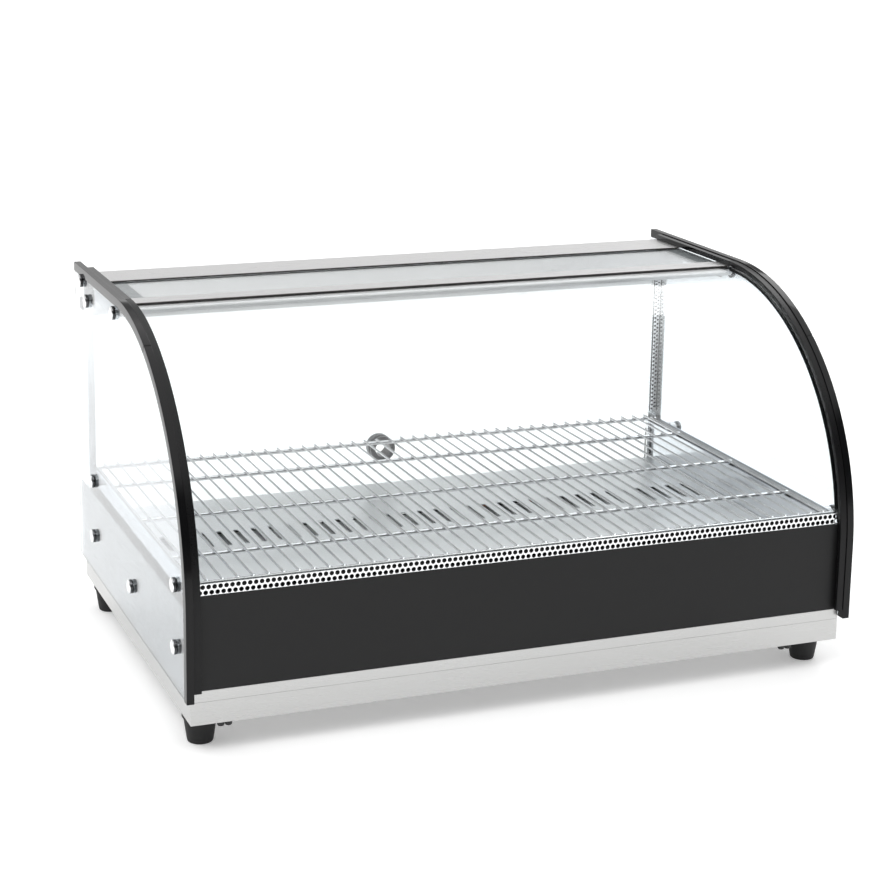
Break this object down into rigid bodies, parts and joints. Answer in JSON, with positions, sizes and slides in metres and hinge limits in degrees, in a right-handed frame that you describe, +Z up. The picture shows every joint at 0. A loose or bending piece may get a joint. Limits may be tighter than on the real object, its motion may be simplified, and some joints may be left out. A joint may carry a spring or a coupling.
{
  "type": "hot food display case",
  "caption": "Countertop heated display case with curved front glass, clear sides, wire rack over a slotted warm deck, black front panel and a top-hung rear glass flap.",
  "frame": {"origin": "middle of the footprint, on the surface the feet stand on", "axes": "+X to the right seen from the front (the long way), -Y to the curved front glass, +Y to the rear door, +Z up"},
  "size_m": [0.6672, 0.428, 0.362],
  "materials": {
    "stainless": "brushed, satin",
    "black_plastic": "fine-textured moulded",
    "chrome": "bright plate",
    "black_trim": "satin black",
    "deck_steel": "polished",
    "clear_glass": "clear tempered, polished edges",
    "grey_plastic": "satin moulded",
    "satin_aluminium": "satin anodised",
    "foot_rubber": "matte moulded",
    "zinc_screw": "zinc plate",
    "black_panel": "satin powder coat",
    "perforated_steel": "polished, perforated",
    "black_gasket": "satin extruded",
    "heater_sheath": "matte oxidised steel",
    "diffuser": "frosted opal",
    "lamp_glass": "opal glass tube",
    "green_rocker": "gloss translucent",
    "amber_lens": "gloss translucent",
    "red_rocker": "gloss translucent",
    "chrome_wire": "bright nickel-chrome plate",
    "white_ceramic": "glazed",
    "copper_bulb": "drawn copper"
  },
  "bodies": {
    "case": {"base_pan": "stainless", "cable_gland": "black_plastic", "cap_nuts": "chrome", "cover_strips": "black_trim", "deck_plate": "deck_steel", "door_hinge_blocks": "black_plastic", "edge_trim_lower_left": "black_trim", "edge_trim_lower_right": "black_trim", "edge_trim_upper_left": "black_trim", "edge_trim_upper_right": "black_trim", "feet": "foot_rubber", "foot_screws": "zinc_screw", "front_glass": "clear_glass", "front_inner_plate": "stainless", "front_panel": "black_panel", "front_rail": "satin_aluminium", "front_sill": "stainless", "front_vent_strip": "perforated_steel", "glass_gasket_left": "black_gasket", "glass_gasket_right": "black_gasket", "header_end_plugs": "black_plastic", "heater_brackets": "stainless", "heating_element": "heater_sheath", "lamp_cover": "diffuser", "lamp_holders": "diffuser", "lamp_tube": "lamp_glass", "light_switch_body": "black_plastic", "nut_washers": "black_gasket", "pane_angles": "satin_aluminium", "pilot_lamp": "amber_lens", "power_switch_body": "black_plastic", "rail_seals": "black_gasket", "rear_header": "satin_aluminium", "rear_panel": "stainless", "rear_panel_screws": "zinc_screw", "rear_post_left": "stainless", "rear_post_right": "stainless", "rear_sill": "stainless", "side_glass_left": "clear_glass", "side_glass_right": "clear_glass", "side_liner_left": "stainless", "side_liner_right": "stainless", "side_skin_left": "stainless", "side_skin_right": "stainless", "side_studs": "zinc_screw", "stud_nuts": "zinc_screw", "terminal_block": "white_ceramic", "thermostat_body": "black_plastic", "thermostat_bulb": "copper_bulb", "top_glass": "clear_glass"},
    "door": {"door_glass": "clear_glass", "door_top_rail": "satin_aluminium", "door_hinge_pins": "chrome", "door_pull": "grey_plastic"},
    "knob": {"thermostat_knob": "black_plastic", "thermostat_shaft": "zinc_screw"},
    "power_key": {"power_rocker": "red_rocker"},
    "light_key": {"light_rocker": "green_rocker"},
    "rack": {"rack_frame": "chrome_wire", "rack_wires": "chrome_wire"}
  },
  "joints": [
    {"name": "door_hinge", "type": "hinge", "parent": "case", "child": "door", "pos_m": [0, 0.1925, 0.323], "axis": [1, 0, 0], "range_deg": [0, 95]},
    {"name": "thermostat_turn", "type": "hinge", "parent": "case", "child": "knob", "pos_m": [0.15, 0.2, 0.075], "axis": [0, -1, 0], "range_deg": [0, 270]},
    {"name": "power_rock", "type": "hinge", "parent": "case", "child": "power_key", "pos_m": [0.225, 0.1907, 0.075], "axis": [1, 0, 0], "range_deg": [0, 14]},
    {"name": "light_rock", "type": "hinge", "parent": "case", "child": "light_key", "pos_m": [0.262, 0.1907, 0.075], "axis": [1, 0, 0], "range_deg": [0, 14]},
    {"name": "rack_lift", "type": "slide", "parent": "case", "child": "rack", "axis": [0, 0, 1], "range_m": [0, 0.008]}
  ]
}
